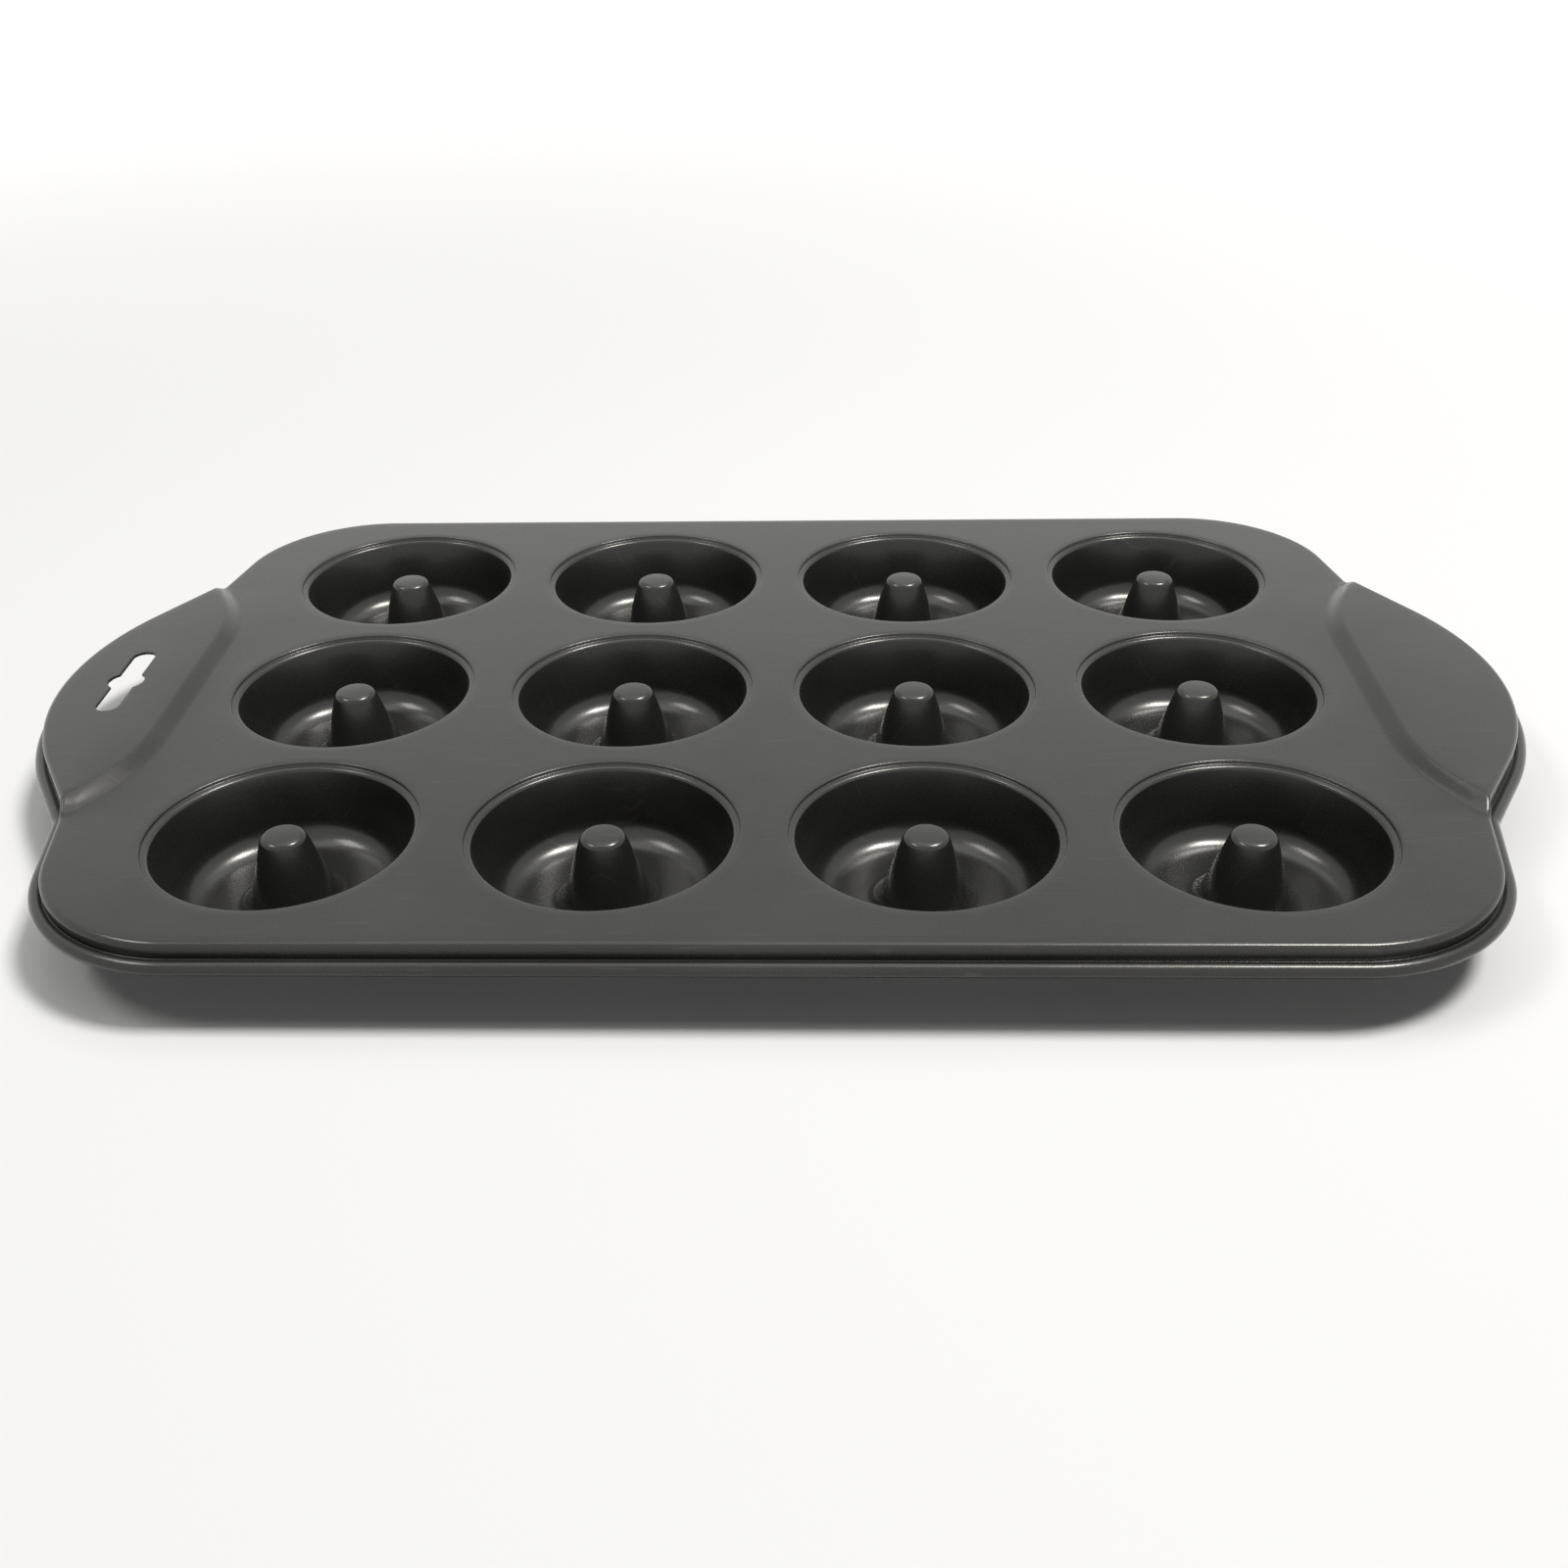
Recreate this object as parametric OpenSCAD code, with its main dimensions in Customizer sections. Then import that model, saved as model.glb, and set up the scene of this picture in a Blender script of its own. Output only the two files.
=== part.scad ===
// Doughnut pan: one pressed sheet with ring wells round hollow pegs, a raised handle at each end
// and a rim that turns down and rolls outwards into a bead.
// X runs from handle to handle, Y from the front edge to the back, and Z = 0 is what the wells stand on.

/* [Sheet] */
// Thickness of the sheet
sheet_t = 0.8; // [0.5:0.1:1]
// Distance from the outer wells' openings to the ends of the plate
end_margin = 21; // [16:0.5:30]
// Distance from the outer wells' openings to the front and back edges
side_margin = 12.8; // [10:0.2:25]
// Plan radius of the plate's corners
corner_r = 40; // [34:1:44]
// Lean of the plate's ends, out from the corners to the handles, in degrees
end_lean = 10; // [6:1:14]

/* [Wells] */
// Number of wells from handle to handle
columns = 4; // [2:1:6]
// Number of wells from front to back
rows = 3; // [3:1:5]
// Spacing of the wells from handle to handle
column_pitch = 76; // [72:0.5:90]
// Spacing of the wells from front to back
row_pitch = 72.7; // [71:0.1:90]
// Diameter of a well's opening at the plate
well_d = 65; // [60:0.5:67]
// Depth of a well below the plate
well_depth = 20; // [16:0.5:26]
// Diameter at which the wall's line would meet the floor
floor_d = 54; // [50:0.5:56]
// Radius between floor and wall
floor_r = 7; // [3:0.5:8]
// Depth of the ledge just inside the opening
ledge_drop = 0.9; // [0.9:0.05:1.5]
// Width of that ledge
ledge_w = 1.5; // [1.5:0.1:2.5]
// Slope of the short riser between plate and ledge, in degrees
riser_slope = 60; // [50:1:62]
// Inside bend radius of the riser and of the ledge's inner edge
bend_r = 0.3; // [0.2:0.05:0.35]

/* [Pegs] */
// Depth of a peg's top below the plate
peg_drop = 0.9; // [0:0.1:4]
// Diameter of a peg's top, to its sharp corner
peg_top_d = 10.4; // [9:0.2:13]
// Diameter at which the cone's line would meet the floor
peg_foot_d = 22.4; // [19:0.2:25]
// Radius of a peg's shoulder
peg_shoulder_r = 1.8; // [1.2:0.1:3]
// Radius between floor and peg
peg_foot_r = 4.5; // [2:0.5:6]

/* [Rim] */
// Radius over which the plate turns down
edge_r = 1.5; // [1.2:0.1:1.8]
// Drop from the plate to the top of the bead
bead_drop = 2.7; // [2.5:0.1:6]
// Radius of the groove between wall and bead
groove_r = 0.8; // [0.4:0.1:0.9]
// Diameter of the rolled bead
bead_d = 4.4; // [3.6:0.1:5]
// Distance of the bead's centre outside the wall
bead_out = 1.1; // [1:0.1:2]
// How far the bead is rolled round, in degrees
bead_curl = 250; // [180:5:260]

/* [Handles] */
// Reach of a handle beyond the end of the plate
handle_reach = 26; // [22:0.5:30]
// Plan radius of a handle's outer edge
handle_r = 84; // [76:1:90]
// Lean of the straight shoulders beside that edge, in degrees
shoulder_lean = 30; // [26:1:34]
// Plan radius of the notch between shoulder and plate
notch_r = 9; // [6:0.5:14]
// Height of a handle's face above the plate
handle_raise = 2.5; // [1:0.1:4]
// Length of the raised face, from the outer edge to the foot of its step
handle_length = 37.5; // [33:0.5:42]
// Run of the sloping step
step_run = 4; // [2:0.5:6]
// Straight middle stretch of the step
step_straight = 56; // [50:1:60]
// Plan radius at which the step's foot curves out to the notches
step_r = 60.5; // [55:0.5:68]

/* [Hanging slot] */
// Length of the slot, along Y
slot_l = 34.5; // [24:0.5:44]
// Width of the slot
slot_w = 6; // [4.5:0.5:8]
// Diameter of the round eye at its middle
slot_eye_d = 9.6; // [8.5:0.1:12]
// Distance of the slot's middle from the handle's outer edge
slot_inset = 17.2; // [13:0.1:20]

/* [Hidden] */
$fn = 96;

// Dark non-stick coating
coating = [0.29, 0.29, 0.28];

// Fewest steps of a bend in a section, with one more for each length of radius given here
bend_steps = 2;
radius_per_step = 2;
// Steps of the bead's roll and of a corner in plan
curl_steps = 10;
plan_steps = 12;
// Overlap by which wells and rim run into the plate around them
lap = 2.5;
// Depth by which a step runs into the rim's wall and edge
seat = 0.1;
// Hairs by which the rim's straight pieces are thicker than the sheet, and its round pieces thicker again,
// so that the straight ones end inside them
straight_hair = 0.01;
round_hair = 0.02;
run_in = 0.3;
// Spare height or length of a cut
past = 5;

plate_w = (columns - 1) * column_pitch + well_d + 2 * end_margin;
plate_d = (rows - 1) * row_pitch + well_d + 2 * side_margin;
plate_z = well_depth + sheet_t;
riser_run = ledge_drop / tan(riser_slope);
bead_r = bead_d / 2;

// Arc centres of one quarter of the plan
handle_x = plate_w / 2 + handle_reach;
handle_c = [handle_x - handle_r, 0];
corner_c = [plate_w / 2 - corner_r, plate_d / 2 - corner_r];
end_n = facing(end_lean);
shoulder_n = facing(shoulder_lean);
end_start = corner_c + corner_r * end_n;
shoulder_start = handle_c + handle_r * shoulder_n;
notch_c = crossing(end_n, end_start * end_n + notch_r, shoulder_n, shoulder_start * shoulder_n + notch_r);
step_c = [handle_x - handle_length + step_r, step_straight / 2];

// Plane vector at an angle
function facing(a) = [cos(a), sin(a)];
function unit(v) = v / norm(v);
function left_of(v) = [-v.y, v.x];
function turned(v, a) = [v.x * cos(a) - v.y * sin(a), v.x * sin(a) + v.y * cos(a)];
function degrees(radians) = radians * 180 / PI;
function turn(u, v) = atan2(u.x * v.y - u.y * v.x, u * v);

// Point where the lines p * n1 = d1 and p * n2 = d2 cross
function crossing(n1, d1, n2, d2) =
    [d1 * n2.y - d2 * n1.y, d2 * n1.x - d1 * n2.x] / (n1.x * n2.y - n1.y * n2.x);

function arc(c, r, from, to, steps) =
    [for (k = [0 : steps]) c + r * facing(from + (to - from) * k / steps)];

// Bend at b of a face drawn from a to c. r is its radius on the upper face, which lies to the left,
// and the face drawn is that one moved down by depth.
function bend(a, b, c, r, depth) =
    let (
        up = left_of(unit(b - a)),
        swing = turn(b - a, c - b),
        side = sign(swing),
        centre = b - unit(b - a) * r * tan(abs(swing) / 2) + side * r * up,
        steps = bend_steps + round(r / radius_per_step)
    )
    [for (k = [0 : steps]) centre - (side * r + depth) * turned(up, swing * k / steps)];

// Upper face of a pressed section, moved down by depth. Each point holds x, height and bend radius.
function face(points, depth) =
    let (
        p = [for (q = points) [q[0], q[1]]],
        last = len(p) - 1
    )
    concat(
        [p[0] - depth * left_of(unit(p[1] - p[0]))],
        [for (k = [1 : last - 1]) each bend(p[k - 1], p[k], p[k + 1], points[k][2], depth)],
        [p[last] - depth * left_of(unit(p[last] - p[last - 1]))]
    );

function reversed(list) = [for (k = [len(list) - 1 : -1 : 0]) list[k]];

// Section of one well from the peg's axis out to the plate, with the plate's face at height 0
well_section = [
    [0, -peg_drop, 0],
    [peg_top_d / 2, -peg_drop, peg_shoulder_r],
    [peg_foot_d / 2, -well_depth, peg_foot_r],
    [floor_d / 2, -well_depth, floor_r],
    [well_d / 2 - riser_run - ledge_w, -ledge_drop, bend_r + sheet_t],
    [well_d / 2 - riser_run, -ledge_drop, bend_r],
    [well_d / 2, 0, bend_r + sheet_t],
    [well_d / 2 + lap, 0, 0]
];

// Section of the rim's turned edge, from the plate at a given height down to where the wall begins
function edge_line(height, grow) = [
    [-edge_r - lap - grow, height, 0],
    [0, height, edge_r],
    [0, -edge_r, 0]
];

// Section of the wall below that, down to the top of the bead
wall_line = [
    [0, -edge_r, 0],
    [0, -bead_drop, groove_r],
    [bead_out, -bead_drop, 0]
];

// Rolled bead's outer face, moved in by depth
function curl(depth, grow) =
    arc([bead_out, -bead_drop - bead_r], bead_r - depth, 90, 90 - bead_curl - degrees(grow / bead_r), curl_steps);

// Plan outline, grown by a distance
function quarter(grow) = concat(
    arc(handle_c, handle_r + grow, 0, shoulder_lean, plan_steps),
    arc(notch_c, notch_r - grow, 180 + shoulder_lean, 180 + end_lean, plan_steps),
    arc(corner_c, corner_r + grow, end_lean, 90, plan_steps)
);

module outline(grow) {
    for (flip_x = [0, 1], flip_y = [0, 1])
        mirror([flip_x, 0]) mirror([0, flip_y])
            polygon(concat(
                [[-past, -past], [handle_x + grow, -past]],
                quarter(grow),
                [[-past, plate_d / 2 + grow]]
            ));
}

module wells() {
    for (column = [0 : columns - 1], row = [0 : rows - 1])
        translate([(column - (columns - 1) / 2) * column_pitch, (row - (rows - 1) / 2) * row_pitch])
            children();
}

// One ring well with its hollow peg
module well() {
    rotate_extrude() polygon(concat(face(well_section, 0), reversed(face(well_section, sheet_t))));
}

module edge_section(height, grow) {
    line = edge_line(height, grow);
    polygon(concat(face(line, -grow), reversed(face(line, sheet_t + grow))));
}

module wall_section(grow) {
    polygon(concat(
        face(wall_line, -grow),
        curl(-grow, grow),
        reversed(curl(sheet_t + grow, grow)),
        reversed(face(wall_line, sheet_t + grow))
    ));
}

// Sections carried along the plan: x of the section points outwards, and y up
module along_line(from, to) {
    way = to - from;
    translate(from) rotate([0, 0, atan2(way.y, way.x)])
        translate([-run_in, 0, 0]) rotate([90, 0, 90]) linear_extrude(norm(way) + 2 * run_in) children();
}

module round_corner(centre, radius, from, to) {
    translate(centre) rotate([0, 0, from])
        rotate_extrude(angle = to - from) translate([radius, 0]) children();
}

module round_notch(centre, radius, from, to) {
    translate(centre) rotate([0, 0, from])
        rotate_extrude(angle = to - from) translate([radius, 0]) mirror([1, 0]) children();
}

module two_ways(normal) {
    children();
    mirror(normal) children();
}

module four_ways() {
    two_ways([1, 0, 0]) two_ways([0, 1, 0]) children();
}

// Stretches of the rim, from the long edges round the corners and notches to the handles' tips
module long_edges() {
    two_ways([0, 1, 0]) along_line([-corner_c.x, plate_d / 2], [corner_c.x, plate_d / 2]) children();
}

module corners() {
    four_ways() round_corner(corner_c, corner_r, end_lean, 90) children();
}

module ends() {
    four_ways() along_line(end_start, notch_c - notch_r * end_n) children();
}

module notches() {
    four_ways() round_notch(notch_c, notch_r, 180 + end_lean, 180 + shoulder_lean) children();
}

module shoulders() {
    four_ways() along_line(notch_c - notch_r * shoulder_n, shoulder_start) children();
}

module tips() {
    two_ways([1, 0, 0]) round_corner(handle_c, handle_r, -shoulder_lean, shoulder_lean) children();
}

// Wall and bead, all the way round
module wall() {
    long_edges() wall_section(straight_hair);
    ends() wall_section(straight_hair);
    shoulders() wall_section(straight_hair);
    corners() wall_section(round_hair);
    notches() wall_section(round_hair);
    tips() wall_section(round_hair);
}

// Turned edge of the plate, up to the handles' steps
module plate_edge() {
    long_edges() edge_section(0, straight_hair);
    ends() edge_section(0, straight_hair);
    corners() edge_section(0, round_hair);
    notches() edge_section(0, round_hair);
}

// Turned edge of the raised handles, from their steps outwards
module handle_edge() {
    ends() edge_section(handle_raise, straight_hair);
    shoulders() edge_section(handle_raise, straight_hair);
    notches() edge_section(handle_raise, round_hair);
    tips() edge_section(handle_raise, round_hair);
}

// Solid under a handle, from low below the plate to high above it. Its side stands on the step's foot,
// or a little way back from it, and leans in above the plate as the step does.
module under_handle(low, high, back = 0) {
    foot_r = step_r - back;
    lean = step_run * high / handle_raise;
    handle_column(foot_r, foot_r - lean, high);
    translate([0, 0, -low]) handle_column(foot_r, foot_r, low);
}

// Solid on the plan of a handle, its side set back from step_r at the bottom to top_r at the top
module handle_column(bottom_r, top_r, height) {
    two_ways([1, 0, 0]) {
        two_ways([0, 1, 0]) translate(step_c) cylinder(height, bottom_r, top_r);
        translate([step_c.x, step_c.y, 0]) rotate([90, 0, 0]) linear_extrude(2 * step_c.y)
            polygon([[-bottom_r, 0], [-top_r, height], [0, height], [0, 0]]);
    }
}

// Flat face of the plate and the raised faces of the handles, out to where the rim runs into them
module faces() {
    difference() {
        intersection() {
            translate([0, 0, -sheet_t]) linear_extrude(handle_raise + sheet_t) outline(-edge_r - lap / 2);
            union() {
                translate([-handle_x, -plate_d / 2, -sheet_t]) cube([2 * handle_x, plate_d, sheet_t]);
                under_handle(sheet_t, handle_raise);
            }
        }
        translate([0, 0, -sheet_t]) under_handle(past, handle_raise);
        wells() cylinder(h = 2 * past, d = well_d + lap, center = true);
    }
}

// Sloping steps, run on past the flat faces into the rim's wall
module steps() {
    difference() {
        intersection() {
            translate([0, 0, -sheet_t]) linear_extrude(handle_raise + sheet_t) outline(seat - sheet_t);
            under_handle(sheet_t, handle_raise);
        }
        translate([0, 0, -sheet_t]) under_handle(past, handle_raise);
        translate([0, 0, -past]) handle_column(step_r - step_run, step_r - step_run, past + handle_raise);
    }
}

module hanging_slot() {
    eye_x = handle_x - slot_inset;
    translate([-eye_x, 0, handle_raise - past]) {
        for (end = [-1, 1])
            translate([0, end * (slot_l - slot_w) / 2]) cylinder(2 * past, d = slot_w);
        translate([-slot_w / 2, -(slot_l - slot_w) / 2]) cube([slot_w, slot_l - slot_w, 2 * past]);
        cylinder(2 * past, d = slot_eye_d);
    }
}

module pan() {
    color(coating)
    translate([0, 0, plate_z]) {
        difference() {
            faces();
            hanging_slot();
        }
        steps();
        wells() well();
        wall();
        difference() {
            plate_edge();
            under_handle(past, past, seat);
        }
        intersection() {
            handle_edge();
            under_handle(past, past, seat);
        }
    }
}

pan();
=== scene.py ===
"""Looks of the doughnut pan: the pressed sheet drawn again with finer bends, its coating, and a pale studio.

Sizes are in millimetres and angles in degrees, as in the part's source, up to where the mesh is made.
"""

import math

import bpy
import numpy as np
from mathutils import Matrix, Vector
from mathutils.geometry import delaunay_2d_cdt


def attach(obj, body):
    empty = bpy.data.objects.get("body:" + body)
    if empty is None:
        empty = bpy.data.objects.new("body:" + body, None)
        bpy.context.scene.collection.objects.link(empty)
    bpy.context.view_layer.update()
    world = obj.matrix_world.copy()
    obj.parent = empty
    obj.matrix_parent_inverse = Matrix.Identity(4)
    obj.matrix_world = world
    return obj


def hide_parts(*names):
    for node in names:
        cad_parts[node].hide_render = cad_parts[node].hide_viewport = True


# Sheet and wells, as in the part's source
SHEET = 0.8
WELL_D = 65.0
WELL_DEPTH = 20.0
FLOOR_D = 54.0
FLOOR_R = 7.0
LEDGE_DROP = 0.9
LEDGE_W = 1.5
RISER_SLOPE = 60.0
BEND_R = 0.3
COLUMNS, ROWS = 4, 3
COLUMN_PITCH, ROW_PITCH = 76.0, 72.7

# Pegs, as in the part's source
PEG_DROP = 0.9
PEG_TOP_D = 10.4
PEG_FOOT_D = 22.4
PEG_SHOULDER_R = 1.8
PEG_FOOT_R = 4.5

# Outline of the plate, as in the part's source
END_MARGIN, SIDE_MARGIN = 21.0, 12.8
CORNER_R = 40.0
END_LEAN = 10.0
HANDLE_REACH = 26.0
HANDLE_R = 84.0
SHOULDER_LEAN = 30.0
NOTCH_R = 9.0

# Raised handles and the hanging slot, as in the part's source
HANDLE_RAISE = 2.5
HANDLE_LENGTH = 37.5
STEP_RUN = 4.0
STEP_STRAIGHT = 56.0
STEP_R = 60.5
SLOT_L, SLOT_W = 34.5, 6.0
SLOT_EYE_D = 9.6
SLOT_INSET = 17.2

# Rolled rim. The edge's radius and the curl are as in the part's source.
# The bead and its groove are drawn closer to the photograph.
EDGE_R = 1.5
BEAD_CURL = 250.0
ROLL_R = 1.75
ROLL_AT, ROLL_Z = 1.49, -5.156  # centre of the roll, out from the plan's edge and above the plate
GROOVE_Z = -4.15
GROOVE_BEND_R = 0.17
EDGE_END = 0.01  # short upright stretch at which the turned edge meets the wall

# Drawn closer to the photograph than in the source
TOP_SLOPE = 78.0  # riser of a well's upper face
TOP_BEND_R = 0.5
PEG_DOME = 0.18  # how much the top of a peg is domed
STEP_SOFT = 0.5  # how far the handle's step fades out past each end of its run

# Worked out from those
PLATE_W = (COLUMNS - 1) * COLUMN_PITCH + WELL_D + 2 * END_MARGIN
PLATE_D = (ROWS - 1) * ROW_PITCH + WELL_D + 2 * SIDE_MARGIN
PLATE_Z = WELL_DEPTH + SHEET
HANDLE_X = PLATE_W / 2 + HANDLE_REACH

# Fineness of the mesh
BAND = 2.5  # flat band of a well or of the rim before the plate's own face begins
ROUND = 80  # facets round a well
FINE_BEND_R = 1.4  # bends above this radius get the full number of facets, tighter ones get half
WELL_TOP_TURN, WELL_UNDER_TURN = 10.0, 24.0  # turn of one facet of a bend
RIM_OUTER_TURN, RIM_INNER_TURN = 12.0, 24.0
TIP_POINTS, SHOULDER_POINTS, NOTCH_POINTS, END_POINTS, CORNER_POINTS, SIDE_POINTS = 23, 9, 8, 14, 30, 16
STEP_ROWS = 10  # facets across a handle's step
STEP_PITCH, STEP_TURN = 2.0, 2.0  # spacing along its straight part, and turn along its curves
STEP_SPREAD = 80.0  # how far its curves are followed
SLOT_POINTS = 13  # points on each arc of the slot's edge
SHARP_ANGLE = 50.0
SAME_POINT = 1e-6  # points of a section closer than this are one
MERGE_GAP = 1e-7  # gap below which the triangulation joins points
RANGE_END = 0.01  # added to a range's end, so that the range includes it

# Distances at which the step's own points keep clear of the plate's other points
RIM_SHRINK = 0.9985
RIM_CLEAR = 0.35
WELL_CLEAR = 0.8
RING_SLACK = 0.02

# Rows of the slot's edge: how far out each lies, and how far down
SLOT_ROWS = (
    (0.9, 0.0), (0.25, 0.0), (0.1, 0.03), (0.02, 0.12),
    (0.0, 0.25), (0.0, SHEET - 0.1), (0.08, SHEET),
)

# Colours of the coating
DARK_TONE, PALE_TONE = (0.0380, 0.0375, 0.0341, 1), (0.0460, 0.0453, 0.0411, 1)
FLECK_TONE = (0.095, 0.093, 0.087, 1)
RUBBED_TONE = (0.140, 0.138, 0.131, 1)
HAIR_TONE = (0.110, 0.108, 0.102, 1)

# Studio, in metres and watts
FLOOR_HALF = 9.0
FLOOR_TONE = (0.86, 0.86, 0.86, 1)
ROOM_TONE, ROOM_STRENGTH = (1, 0.995, 0.985, 1), 0.06
WARM, NEAR_WHITE = (1, 0.99, 0.96), (1, 0.995, 0.98)
LAMP_TARGET = (0, 0, 0.02)

# Camera fitted to the places of the wells in the photograph: metres above the plate, radians and millimetres
CAMERA_X, CAMERA_Y, CAMERA_ABOVE = 0.015634, -0.403129, 0.209812
CAMERA_PITCH, CAMERA_YAW, CAMERA_ROLL = 0.594, -0.040, 0.022
CAMERA_LENS, CAMERA_SENSOR = 38.43, 36.0
CAMERA_SHIFT_X, CAMERA_SHIFT_Y = 0.0056, 0.0604
CAMERA_NEAR, CAMERA_FAR = 0.01, 50


# Sections


def facing(degrees):
    """Unit vector at an angle."""
    return np.array([math.cos(math.radians(degrees)), math.sin(math.radians(degrees))])


def bend(a, b, c, radius, depth, turn):
    """Points round the bend at b of a face drawn from a to c, moved down by depth; its left side is up."""
    along = (b - a) / np.linalg.norm(b - a)
    after = (c - b) / np.linalg.norm(c - b)
    swing = math.degrees(math.atan2(along[0] * after[1] - along[1] * after[0], along @ after))
    side = math.copysign(1.0, swing)
    up = np.array([-along[1], along[0]])
    centre = b - along * radius * math.tan(math.radians(abs(swing) / 2)) + side * radius * up
    count = max(3, math.ceil(abs(swing) / (turn if radius > FINE_BEND_R else 2 * turn)))
    angles = np.radians(swing) * np.arange(count + 1) / count
    turned = np.stack([up[0] * np.cos(angles) - up[1] * np.sin(angles),
                       up[0] * np.sin(angles) + up[1] * np.cos(angles)], 1)
    return centre - (side * radius + depth) * turned


def face_line(points, depth, turn):
    """A pressed section's face, moved down by depth. Each point is x, height and bend radius."""
    p = [np.array(q[:2], float) for q in points]

    def lowered(at, a, b):
        along = (b - a) / np.linalg.norm(b - a)
        return [at - depth * np.array([-along[1], along[0]])]

    parts = [lowered(p[0], p[0], p[1])]
    for k in range(1, len(p) - 1):
        parts.append(bend(p[k - 1], p[k], p[k + 1], points[k][2], depth, turn))
    parts.append(lowered(p[-1], p[-2], p[-1]))
    line = np.concatenate([np.asarray(q) for q in parts])
    keep = np.concatenate([[True], np.linalg.norm(np.diff(line, axis=0), axis=1) > SAME_POINT])
    return line[keep]


def well_line(depth, turn):
    """Section of a well from its axis to the plate: the upper face at depth 0, the under face at SHEET."""
    slope, top_bend = (TOP_SLOPE, TOP_BEND_R) if depth == 0 else (RISER_SLOPE, BEND_R + SHEET)
    riser = LEDGE_DROP / math.tan(math.radians(slope))
    return face_line([
        (0, -PEG_DROP, 0),
        (PEG_TOP_D / 2, -PEG_DROP, PEG_SHOULDER_R),
        (PEG_FOOT_D / 2, -WELL_DEPTH, PEG_FOOT_R),
        (FLOOR_D / 2, -WELL_DEPTH, FLOOR_R),
        (WELL_D / 2 - riser - LEDGE_W, -LEDGE_DROP, BEND_R + SHEET),
        (WELL_D / 2 - riser, -LEDGE_DROP, BEND_R),
        (WELL_D / 2, 0, top_bend),
        (WELL_D / 2 + BAND, 0, 0),
    ], depth, turn)


def rim_line():
    """Closed section of the rim: distance out from the plan's edge, height, and how much of the
    plate's own height each point takes (1 on the turned edge, 0 on the groove and the bead)."""
    outer, inner = [], []
    to_roll = np.array([ROLL_AT, ROLL_Z - GROOVE_Z])
    reach = np.linalg.norm(to_roll)
    rise = math.atan2(to_roll[1], to_roll[0]) + math.asin(ROLL_R / reach)
    tangent = math.sqrt(reach ** 2 - ROLL_R ** 2)
    meet = (tangent * math.cos(rise), GROOVE_Z + tangent * math.sin(rise), 0)
    wall_top = (0, -EDGE_R - EDGE_END, 0)
    for depth, line, turn in ((0.0, outer, RIM_OUTER_TURN), (SHEET, inner, RIM_INNER_TURN)):
        edge = face_line([(-EDGE_R - BAND, 0, 0), (0, 0, EDGE_R), wall_top], depth, turn)
        foot = face_line([wall_top, (0, GROOVE_Z, GROOVE_BEND_R), meet], depth, turn)
        start, stop = 90 + math.degrees(rise), 90 - BEAD_CURL
        angles = np.radians(np.linspace(start, stop, round((start - stop) / turn) + 1))
        r = ROLL_R - depth
        curl = np.stack([ROLL_AT + r * np.cos(angles), ROLL_Z + r * np.sin(angles)], 1)
        line += [(x, z, 1.0) for x, z in edge] + [(x, z, 0.0) for x, z in foot[1:-1]]
        line += [(x, z, 0.0) for x, z in curl]
    return np.array(outer), np.array(inner)


# Plan


def quarter():
    """Points and outward normals of a quarter of the plan's edge, from a handle's tip to a long edge."""
    end_n, shoulder_n = facing(END_LEAN), facing(SHOULDER_LEAN)
    handle_c = np.array([HANDLE_X - HANDLE_R, 0.0])
    corner_c = np.array([PLATE_W / 2 - CORNER_R, PLATE_D / 2 - CORNER_R])
    end_start = corner_c + CORNER_R * end_n
    shoulder_start = handle_c + HANDLE_R * shoulder_n
    notch_c = np.linalg.solve(np.array([end_n, shoulder_n]),
                              [end_start @ end_n + NOTCH_R, shoulder_start @ shoulder_n + NOTCH_R])
    side_middle = np.array([0.0, PLATE_D / 2])
    points, normals = [], []

    def arc(centre, radius, start, stop, count, inside=False):
        for angle in np.linspace(start, stop, count):
            n = facing(angle)
            points.append(centre + radius * n)
            normals.append(-n if inside else n)

    def line(a, b, n, count):
        for t in np.linspace(0, 1, count + 2)[1:-1]:
            points.append(a + t * (b - a))
            normals.append(n)

    arc(handle_c, HANDLE_R, 0, SHOULDER_LEAN, TIP_POINTS)
    line(shoulder_start, notch_c - NOTCH_R * shoulder_n, shoulder_n, SHOULDER_POINTS)
    arc(notch_c, NOTCH_R, 180 + SHOULDER_LEAN, 180 + END_LEAN, NOTCH_POINTS, inside=True)
    line(notch_c - NOTCH_R * end_n, end_start, end_n, END_POINTS)
    arc(corner_c, CORNER_R, END_LEAN, 90, CORNER_POINTS)
    line(corner_c + [0, CORNER_R], side_middle, facing(90), SIDE_POINTS)
    points.append(side_middle)
    normals.append(facing(90))
    return np.array(points), np.array(normals)


def outline():
    """The whole edge, anticlockwise from the right handle's tip."""
    p, n = quarter()
    ways = [(1, 1, False), (-1, 1, True), (-1, -1, False), (1, -1, True)]
    points, normals = [], []
    for sx, sy, back in ways:
        q, m = p * [sx, sy], n * [sx, sy]
        if back:
            q, m = q[::-1], m[::-1]
        points.append(q[:-1])
        normals.append(m[:-1])
    return np.concatenate(points), np.concatenate(normals)


def plate_height(xy):
    """Height of the sheet's upper face above the plate: the handles are raised by a soft step."""
    xy = np.atleast_2d(xy)
    across = np.maximum(np.abs(xy[:, 1]) - STEP_STRAIGHT / 2, 0)
    along = HANDLE_X - HANDLE_LENGTH + STEP_R - np.abs(xy[:, 0])
    distance = np.where(across > 0, np.hypot(across, along), along)
    t = np.clip((STEP_R + STEP_SOFT - distance) / (STEP_RUN + 2 * STEP_SOFT), 0, 1)
    return HANDLE_RAISE * t * t * (3 - 2 * t)


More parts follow.
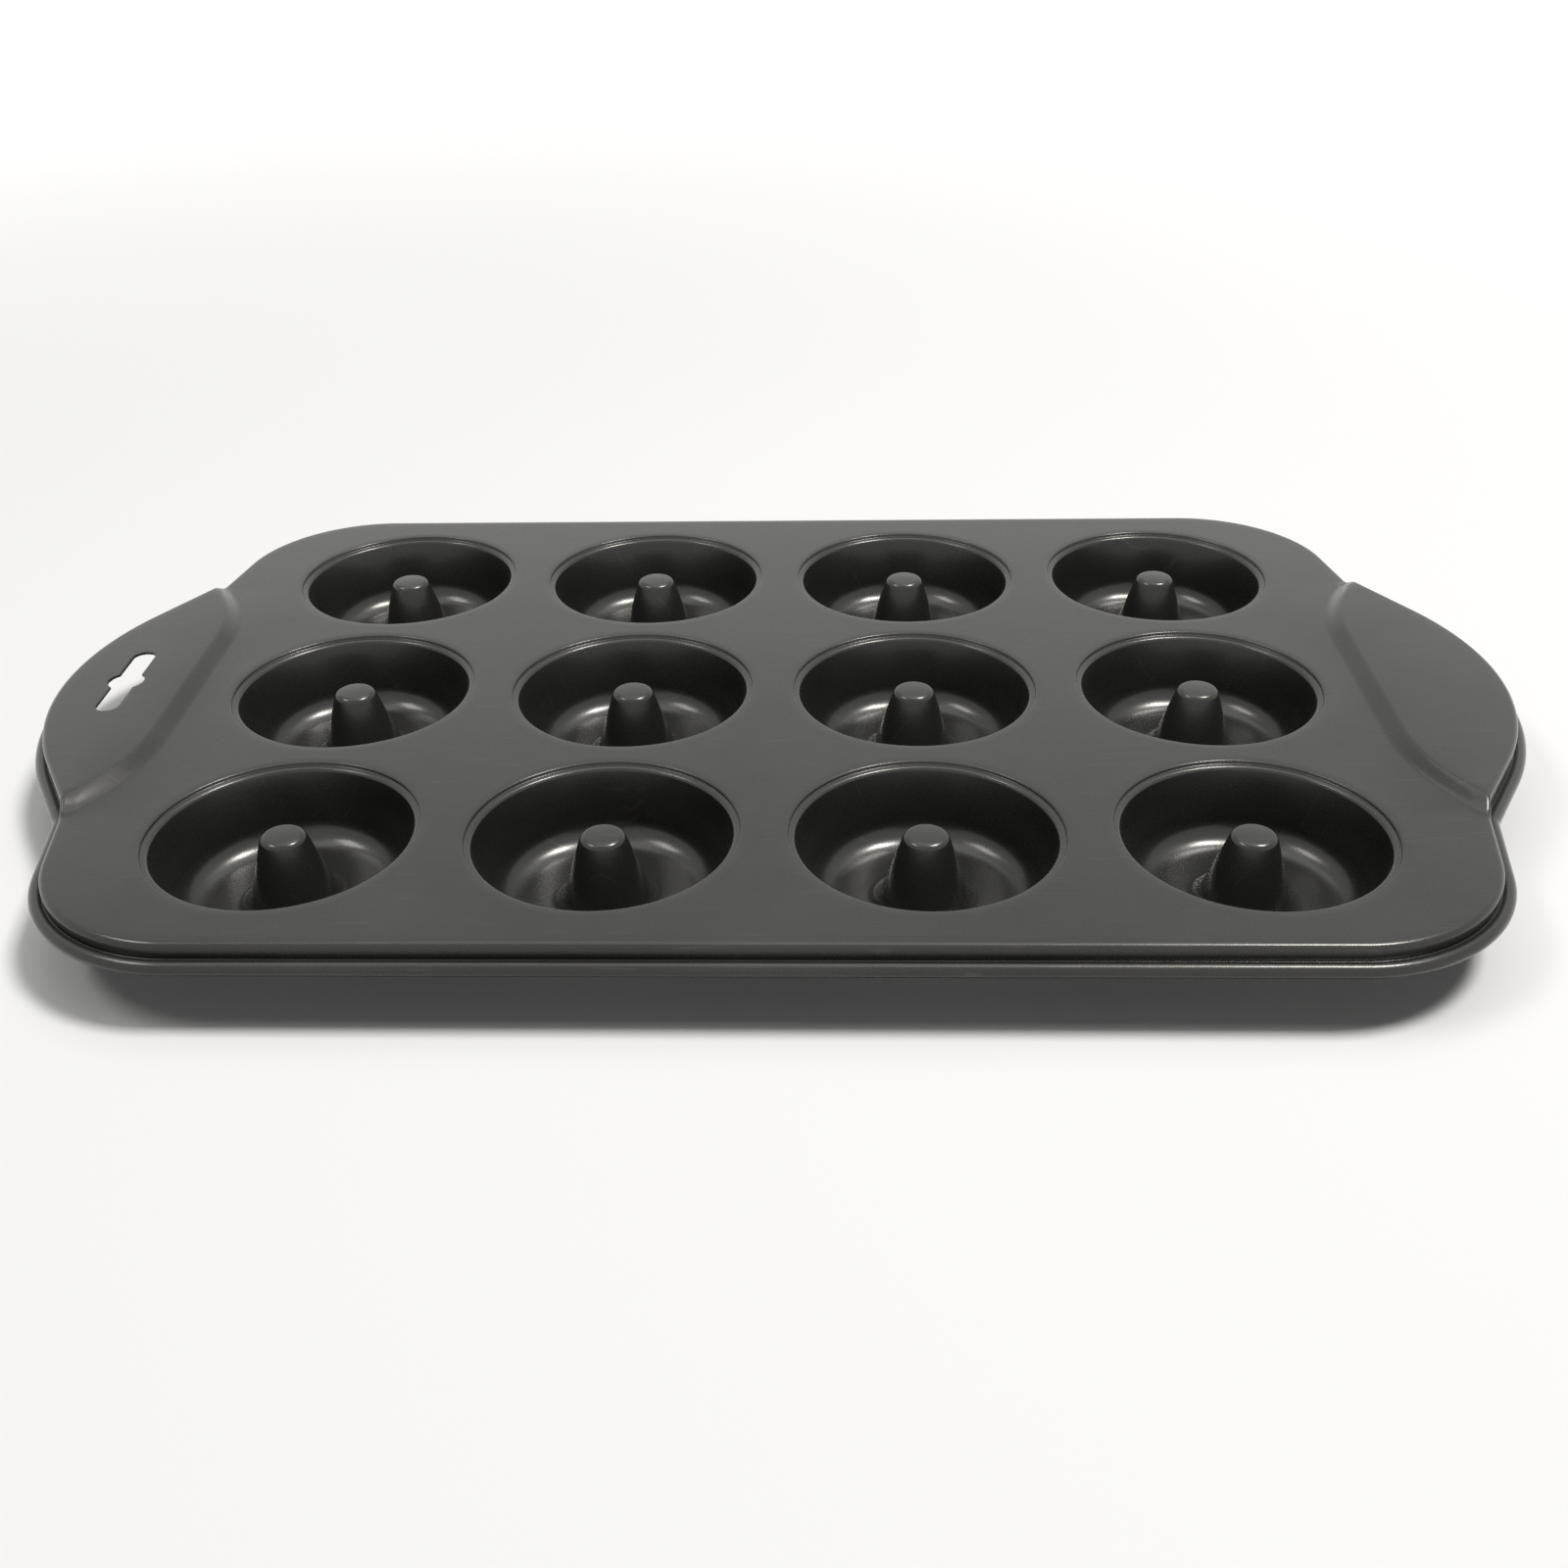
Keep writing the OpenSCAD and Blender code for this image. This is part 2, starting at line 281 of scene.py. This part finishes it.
def slot_loop(grow):
    """Edge of the hanging slot in plan, anticlockwise, moved out by grow."""
    count = SLOT_POINTS
    half = (SLOT_L - SLOT_W) / 2
    w, eye = SLOT_W / 2 + grow, SLOT_EYE_D / 2 + grow
    meet = math.degrees(math.asin(w / eye))
    loop = [(w * math.cos(a), half + w * math.sin(a)) for a in np.linspace(0, math.pi, count)]
    loop += [(eye * c, eye * s) for c, s in (facing(a) for a in np.linspace(90 + meet, 270 - meet, count))]
    loop += [(w * math.cos(a), -half + w * math.sin(a)) for a in np.linspace(math.pi, 2 * math.pi, count)]
    loop += [(eye * c, eye * s) for c, s in (facing(a) for a in np.linspace(-90 + meet, 90 - meet, count))]
    return np.array(loop) + [-(HANDLE_X - SLOT_INSET), 0]


# Mesh


class Sheet:
    """Vertices and faces of the pan, in millimetres."""

    def __init__(self):
        self.points, self.faces = [], []

    def add(self, points):
        """Adds vertices and returns their numbers."""
        start = len(self.points)
        self.points.extend(map(tuple, points))
        return list(range(start, len(self.points)))

    def strip(self, a, b):
        """Quads between two closed rows of vertices."""
        for k in range(len(a)):
            j = (k + 1) % len(a)
            self.faces.append((a[k], a[j], b[j], b[k]))

    def rings(self, rows, flip):
        """Quads between each row and the next."""
        for a, b in zip(rows, rows[1:]):
            if flip:
                a, b = b, a
            self.strip(a, b)

    def plan(self, ring):
        """The plan of a row of vertices."""
        return np.array([self.points[v][:2] for v in ring])


def well_centres():
    """The wells' axes in plan, row by row."""
    return [((c - (COLUMNS - 1) / 2) * COLUMN_PITCH, (r - (ROWS - 1) / 2) * ROW_PITCH)
            for r in range(ROWS) for c in range(COLUMNS)]


def clear_of_wells(xy, radius):
    """Whether each point lies outside that radius of every well."""
    clear = np.ones(len(xy), bool)
    for cx, cy in well_centres():
        clear &= np.hypot(xy[:, 0] - cx, xy[:, 1] - cy) > radius
    return clear


def add_wells(mesh, depth, up):
    """Revolves one face of every well and returns its outer ring of vertices."""
    line = well_line(depth, WELL_TOP_TURN if up else WELL_UNDER_TURN)
    flat = line[1, 0]
    if up:
        line = np.concatenate([line[:1], [(flat / 3, line[0, 1]), (flat * 2 / 3, line[0, 1])], line[1:]])
    line[:, 1] += PEG_DOME * np.clip(1 - (line[:, 0] / flat) ** 2, 0, 1)
    angles = 2 * np.pi * np.arange(ROUND) / ROUND
    circle = np.stack([np.cos(angles), np.sin(angles)], 1)
    rings = []
    for cx, cy in well_centres():
        pole = mesh.add([(cx, cy, line[0, 1])])[0]
        rows = []
        for r, z in line[1:]:
            rows.append(mesh.add([(cx + r * x, cy + r * y, z) for x, y in circle]))
        for k in range(ROUND):
            a, b = rows[0][k], rows[0][(k + 1) % ROUND]
            mesh.faces.append((pole, a, b) if up else (pole, b, a))
        mesh.rings(rows, up)
        rings.append(rows[-1])
    return rings


def add_rim(mesh):
    """Sweeps the rim's section along the plan and returns the inner rings of its two faces."""
    points, normals = outline()
    outer, inner = rim_line()
    section = np.concatenate([outer, inner[::-1]])
    rows = []
    for out, z, share in section:
        at = points + out * normals
        rise = plate_height(points + min(out, 0.0) * normals) if share else np.zeros(len(points))
        rows.append(mesh.add(np.column_stack([at, z + rise])))
    mesh.rings(rows, True)
    return rows[0], rows[-1]


def step_points():
    """Points along the handles' steps, so that the flat faces can bend there."""
    made = []
    first, last = STEP_R - STEP_RUN - STEP_SOFT, STEP_R + STEP_SOFT
    side = HANDLE_X - HANDLE_LENGTH + STEP_R
    for distance in np.arange(first, last + RANGE_END, (STEP_RUN + 2 * STEP_SOFT) / STEP_ROWS):
        straight = np.arange(-STEP_STRAIGHT / 2, STEP_STRAIGHT / 2 + RANGE_END, STEP_PITCH)
        made += [(side - distance, y) for y in straight]
        for angle in np.arange(STEP_TURN, STEP_SPREAD, STEP_TURN):
            x = side - distance * math.cos(math.radians(angle))
            y = STEP_STRAIGHT / 2 + distance * math.sin(math.radians(angle))
            made += [(x, y), (x, -y)]
    return np.array(made + [(-x, y) for x, y in made])


def inside(points, loop):
    """Whether each point lies inside a closed loop."""
    x, y = points[:, 0], points[:, 1]
    result = np.zeros(len(points), bool)
    for (x1, y1), (x2, y2) in zip(loop, np.roll(loop, -1, axis=0)):
        crosses = (y1 > y) != (y2 > y)
        result ^= crosses & (x < (x2 - x1) * (y - y1) / ((y2 - y1) or 1e-12) + x1)
    return result


def add_flat(mesh, rim_ring, well_rings, slot_ring, depth, up):
    """Fills the plate between the rim's band, the wells' rings and the slot."""
    points, edges, owners = [], [], []
    for ring in [rim_ring, *well_rings, slot_ring]:
        start = len(points)
        points += [Vector(mesh.points[v][:2]) for v in ring]
        owners += ring
        edges += [(start + k, start + (k + 1) % len(ring)) for k in range(len(ring))]
    rim_xy, slot_xy = mesh.plan(rim_ring), mesh.plan(slot_ring)

    steps = step_points()
    near = inside(steps, rim_xy * RIM_SHRINK) & ~inside(steps, slot_xy)
    near &= clear_of_wells(steps, WELL_D / 2 + BAND + WELL_CLEAR)
    for xy in steps[near]:
        if np.hypot(*(rim_xy - xy).T).min() > RIM_CLEAR:
            points.append(Vector(xy))
            owners.append(mesh.add([(xy[0], xy[1], plate_height(xy)[0] - depth)])[0])

    verts, _, faces, origin, _, _ = delaunay_2d_cdt(points, edges, [], 0, MERGE_GAP)
    if len(verts) != len(points):
        raise RuntimeError("the plate's outline crosses itself")
    index = [owners[o[0]] for o in origin]
    mids = np.array([sum((verts[v] for v in f), Vector((0, 0))) / len(f) for f in faces])
    keep = inside(mids, rim_xy) & ~inside(mids, slot_xy)
    keep &= clear_of_wells(mids, WELL_D / 2 + BAND - RING_SLACK)
    for f in (f for f, kept in zip(faces, keep) if kept):
        ids = [index[v] for v in f]
        mesh.faces.append(tuple(ids if up else ids[::-1]))


def pan_mesh():
    """The whole sheet as one closed mesh, in metres, standing on the floor."""
    mesh = Sheet()
    rim_top, rim_under = add_rim(mesh)
    top_wells = add_wells(mesh, 0.0, True)
    under_wells = add_wells(mesh, SHEET, False)
    slot_rows = []
    for grow, drop in SLOT_ROWS:
        loop = slot_loop(grow)
        slot_rows.append(mesh.add(np.column_stack([loop, plate_height(loop) - drop])))
    mesh.rings(slot_rows, False)
    add_flat(mesh, rim_top, top_wells, slot_rows[0], 0.0, True)
    add_flat(mesh, rim_under, under_wells, slot_rows[-1], SHEET, False)

    data = bpy.data.meshes.new("pan_sheet")
    scaled = [(x / 1000, y / 1000, (z + PLATE_Z) / 1000) for x, y, z in mesh.points]
    data.from_pydata(scaled, [], mesh.faces)
    data.validate()
    data.shade_smooth()
    data.set_sharp_from_angle(angle=math.radians(SHARP_ANGLE))
    return bpy.data.objects.new("pan_sheet", data)


# Nodes that the materials share


def socket(node, name, value):
    """Sets an unlinked input."""
    node.inputs[name].default_value = value


def mapped(nodes, links, source, from_min, from_max, to_min, to_max):
    """A value taken from one range to another, held at its ends."""
    node = nodes.new("ShaderNodeMapRange")
    socket(node, "From Min", from_min)
    socket(node, "From Max", from_max)
    socket(node, "To Min", to_min)
    socket(node, "To Max", to_max)
    links.new(source, node.inputs["Value"])
    return node


def spread(nodes, links, source, low, high):
    """A value between low and high, following a noise from dark to light."""
    return mapped(nodes, links, source, 0.3, 0.7, low, high).outputs["Result"]


def blend(nodes, links, base, color, factor):
    """Mixes a colour over base by a factor."""
    mix = nodes.new("ShaderNodeMix")
    mix.data_type = "RGBA"
    if isinstance(base, tuple):
        mix.inputs["A"].default_value = base
    else:
        links.new(base, mix.inputs["A"])
    mix.inputs["B"].default_value = color
    links.new(factor, mix.inputs["Factor"])
    return mix.outputs["Result"]


def clamped(nodes, links, operation, a, b):
    """A Math node on two values, or on a value and a number, held between 0 and 1."""
    node = nodes.new("ShaderNodeMath")
    node.operation = operation
    node.use_clamp = True
    links.new(a, node.inputs[0])
    if isinstance(b, float):
        node.inputs[1].default_value = b
    else:
        links.new(b, node.inputs[1])
    return node.outputs[0]


def shown(nodes, links):
    """1 for the rays that see the background itself: camera, glossy and transmission rays."""
    path = nodes.new("ShaderNodeLightPath")
    value = path.outputs["Is Camera Ray"]
    for name in ("Is Glossy Ray", "Is Transmission Ray"):
        value = clamped(nodes, links, "MAXIMUM", value, path.outputs[name])
    return value


# Coating


def coating_material():
    """Dark baked coating with a metal sheen: cloudy tone, fine flecks, rubbed edges and hair scratches."""
    material = bpy.data.materials.new("coating")
    material.use_nodes = True
    nodes, links = material.node_tree.nodes, material.node_tree.links
    shader = nodes["Principled BSDF"]
    socket(shader, "Metallic", 0.65)
    socket(shader, "IOR", 1.35)
    socket(shader, "Coat Weight", 0.25)
    socket(shader, "Coat Roughness", 0.14)
    place = nodes.new("ShaderNodeTexCoord").outputs["Object"]

    def noise(scale, detail, rough, stretch=None, turn=0.0):
        node = nodes.new("ShaderNodeTexNoise")
        for name, value in (("Scale", scale), ("Detail", detail), ("Roughness", rough)):
            socket(node, name, value)
        if stretch is None:
            links.new(place, node.inputs["Vector"])
        else:
            mapping = nodes.new("ShaderNodeMapping")
            socket(mapping, "Scale", stretch)
            socket(mapping, "Rotation", (0, 0, math.radians(turn)))
            links.new(place, mapping.inputs["Vector"])
            links.new(mapping.outputs["Vector"], node.inputs["Vector"])
        return node.outputs["Fac"]

    cloud, peel = noise(28, 3, 0.5), noise(420, 2, 0.5)
    grain, speck = noise(1900, 2, 0.6), noise(5200, 1, 0.5)
    scratches = (noise(55, 2, 0.4, (1, 22, 1), 24), noise(60, 2, 0.4, (1, 26, 1), -52))

    pointed = nodes.new("ShaderNodeNewGeometry").outputs["Pointiness"]
    ends = mapped(nodes, links, pointed, 0.53, 0.60, 0.0, 0.45).outputs["Result"]
    rubbed = clamped(nodes, links, "MULTIPLY", ends, spread(nodes, links, peel, 0.35, 1.0))
    lines = [mapped(nodes, links, source, 0.695, 0.73, 0.0, 0.22).outputs["Result"] for source in scratches]
    hair = clamped(nodes, links, "ADD", *lines)

    tone = blend(nodes, links, DARK_TONE, PALE_TONE, spread(nodes, links, cloud, 0, 1))
    tone = blend(nodes, links, tone, FLECK_TONE, spread(nodes, links, speck, -0.6, 0.35))
    tone = blend(nodes, links, tone, RUBBED_TONE, rubbed)
    tone = blend(nodes, links, tone, HAIR_TONE, hair)
    links.new(tone, shader.inputs["Base Color"])

    dull = spread(nodes, links, cloud, 0.24, 0.29)
    dull = clamped(nodes, links, "ADD", dull, spread(nodes, links, grain, -0.02, 0.02))
    polish = clamped(nodes, links, "MULTIPLY", rubbed, 0.12)
    links.new(clamped(nodes, links, "SUBTRACT", dull, polish), shader.inputs["Roughness"])

    normal = None
    for height, strength, distance in ((grain, 0.12, 0.00003), (peel, 0.22, 0.00006), (hair, 0.10, 0.00002)):
        bump = nodes.new("ShaderNodeBump")
        bump.invert = height is hair
        socket(bump, "Strength", strength)
        socket(bump, "Distance", distance)
        links.new(height, bump.inputs["Height"])
        if normal is not None:
            links.new(normal, bump.inputs["Normal"])
        normal = bump.outputs["Normal"]
    links.new(normal, shader.inputs["Normal"])
    return material


# Studio


def floor_material():
    """Pale floor that fades to white with distance for the rays that see the background."""
    material = bpy.data.materials.new("floor")
    material.use_nodes = True
    nodes, links = material.node_tree.nodes, material.node_tree.links
    nodes.clear()
    diffuse = nodes.new("ShaderNodeBsdfDiffuse")
    glow = nodes.new("ShaderNodeEmission")
    both = nodes.new("ShaderNodeAddShader")
    out = nodes.new("ShaderNodeOutputMaterial")
    socket(diffuse, "Color", FLOOR_TONE)
    distance = nodes.new("ShaderNodeVectorMath")
    distance.operation = "LENGTH"
    links.new(nodes.new("ShaderNodeTexCoord").outputs["Object"], distance.inputs[0])
    far = mapped(nodes, links, distance.outputs["Value"], 0.3, 2.2, 0.04, 0.93)
    far.interpolation_type = "SMOOTHSTEP"
    strength = clamped(nodes, links, "MULTIPLY", shown(nodes, links), far.outputs["Result"])
    links.new(strength, glow.inputs["Strength"])
    links.new(diffuse.outputs[0], both.inputs[0])
    links.new(glow.outputs[0], both.inputs[1])
    links.new(both.outputs[0], out.inputs["Surface"])
    return material


def studio_floor(scene):
    """Wide square floor under the pan."""
    half = FLOOR_HALF
    corners = [(-half, -half, 0), (half, -half, 0), (half, half, 0), (-half, half, 0)]
    data = bpy.data.meshes.new("floor")
    data.from_pydata(corners, [], [(0, 1, 2, 3)])
    data.materials.append(floor_material())
    floor = bpy.data.objects.new("floor", data)
    scene.collection.objects.link(floor)


def studio_world(scene):
    """White for the rays that see the background, and a dim room for the light on the pan."""
    world = bpy.data.worlds.new("studio")
    scene.world = world
    world.use_nodes = True
    nodes, links = world.node_tree.nodes, world.node_tree.links
    nodes.clear()
    white, room = nodes.new("ShaderNodeBackground"), nodes.new("ShaderNodeBackground")
    socket(white, "Color", (1, 1, 1, 1))
    socket(white, "Strength", 1.0)
    socket(room, "Color", ROOM_TONE)
    socket(room, "Strength", ROOM_STRENGTH)
    mix = nodes.new("ShaderNodeMixShader")
    out = nodes.new("ShaderNodeOutputWorld")
    links.new(shown(nodes, links), mix.inputs["Fac"])
    links.new(room.outputs[0], mix.inputs[1])
    links.new(white.outputs[0], mix.inputs[2])
    links.new(mix.outputs[0], out.inputs["Surface"])


def softbox(scene, name, place, size, power, color):
    """Rectangular lamp that faces the pan."""
    lamp = bpy.data.lights.new(name, "AREA")
    lamp.shape = "RECTANGLE"
    lamp.size, lamp.size_y = size
    lamp.energy = power
    lamp.color = color
    holder = bpy.data.objects.new(name, lamp)
    holder.location = place
    holder.rotation_mode = "QUATERNION"
    holder.rotation_quaternion = (Vector(LAMP_TARGET) - Vector(place)).to_track_quat("-Z", "Y")
    scene.collection.objects.link(holder)


def studio_camera(scene):
    """Camera fitted to the photograph."""
    data = bpy.data.cameras.new("camera")
    data.sensor_width = CAMERA_SENSOR
    data.lens = CAMERA_LENS
    data.shift_x = CAMERA_SHIFT_X
    data.shift_y = CAMERA_SHIFT_Y
    data.clip_start, data.clip_end = CAMERA_NEAR, CAMERA_FAR
    camera = bpy.data.objects.new("camera", data)
    pitch, yaw, roll = CAMERA_PITCH, CAMERA_YAW, CAMERA_ROLL
    forward = Vector((math.sin(yaw) * math.cos(pitch), math.cos(yaw) * math.cos(pitch), -math.sin(pitch)))
    right = Vector((math.cos(yaw), -math.sin(yaw), 0))
    down = forward.cross(right)
    across = math.cos(roll) * right + math.sin(roll) * down
    up = math.sin(roll) * right - math.cos(roll) * down
    turn = Matrix((across, up, -forward)).transposed()
    place = Matrix.Translation((CAMERA_X, CAMERA_Y, CAMERA_ABOVE + PLATE_Z / 1000))
    camera.matrix_world = place @ turn.to_4x4()
    scene.collection.objects.link(camera)
    bpy.context.scene.camera = camera


# The scene

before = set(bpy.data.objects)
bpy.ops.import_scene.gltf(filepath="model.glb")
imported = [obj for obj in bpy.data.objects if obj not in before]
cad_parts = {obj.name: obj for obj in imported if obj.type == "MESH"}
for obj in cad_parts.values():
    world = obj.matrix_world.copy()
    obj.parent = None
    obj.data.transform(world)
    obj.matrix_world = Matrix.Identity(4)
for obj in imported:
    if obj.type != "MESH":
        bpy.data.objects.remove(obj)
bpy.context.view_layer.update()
scene = bpy.context.scene
pan = pan_mesh()
scene.collection.objects.link(pan)
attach(pan, "root")
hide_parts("pan")
pan.data.materials.append(coating_material())

studio_floor(scene)
studio_world(scene)
softbox(scene, "key_right", (0.977, 0.0, 2.301), (0.6, 0.6), 46, WARM)
softbox(scene, "left", (-1.429, -0.125, 2.048), (0.95, 0.45), 12, WARM)
softbox(scene, "overhead", (0.15, 0.55, 2.45), (2.4, 2.4), 16, NEAR_WHITE)
studio_camera(scene)
scene.view_settings.view_transform = "Standard"
